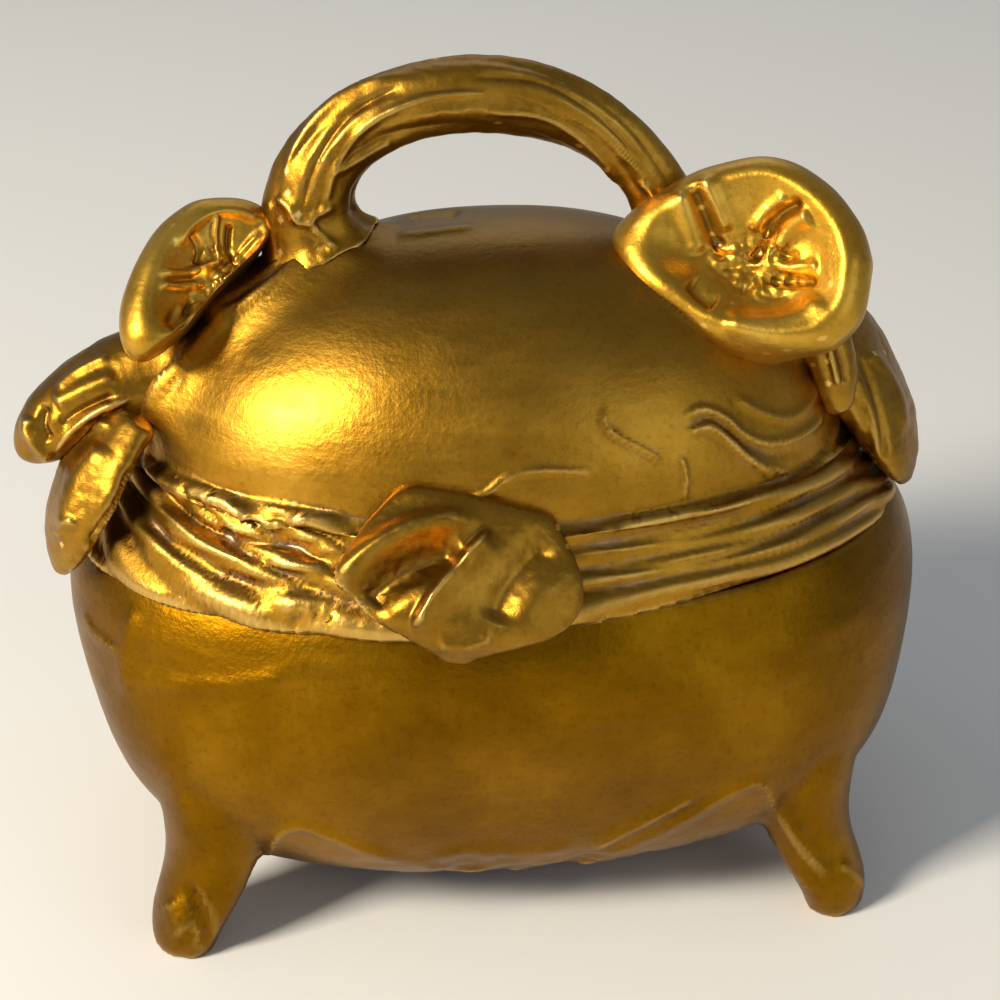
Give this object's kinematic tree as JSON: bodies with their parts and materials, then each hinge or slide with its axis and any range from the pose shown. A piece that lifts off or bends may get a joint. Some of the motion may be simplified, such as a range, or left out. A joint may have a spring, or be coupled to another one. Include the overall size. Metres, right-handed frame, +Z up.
{
  "type": "jewelry casket",
  "caption": "Footed oval jewelry casket of gilt cast metal, with a hinged domed lid, an arched stem handle between open blooms, and a padded silk lining",
  "frame": {"origin": "on the table, under the middle of the casket's outer box", "axes": "+X runs along the length, handle ends left and right; +Y runs to the rear, where the hinge is; +Z is up. The front faces -Y."},
  "size_m": [0.1198, 0.0805, 0.1113],
  "materials": {
    "gilt_casting": "gold paint over cast white metal, darkened in the hollows",
    "pin_steel": "drawn steel wire with flattened ends",
    "silk": "faded silk over cotton wadding",
    "card": "grey-brown pasteboard",
    "cord": "twisted silk cord"
  },
  "bodies": {
    "base": {"base_casting": "gilt_casting", "hinge_pin": "pin_steel", "wall_lining": "silk", "floor_card": "card", "floor_pad": "silk", "base_cord": "cord"},
    "lid": {"lid_casting": "gilt_casting", "handle": "gilt_casting", "right_bloom": "gilt_casting", "left_bloom": "gilt_casting", "right_bud": "gilt_casting", "left_bud": "gilt_casting", "left_leaf": "gilt_casting", "front_leaf": "gilt_casting", "right_leaf": "gilt_casting", "lid_card": "card", "lid_pad": "silk", "lid_cord": "cord"}
  },
  "joints": [
    {"name": "lid_hinge", "type": "hinge", "parent": "base", "child": "lid", "pos_m": [0, 0.0376, 0.05212], "axis": [-1, 0, 0], "range_deg": [0, 100]}
  ]
}
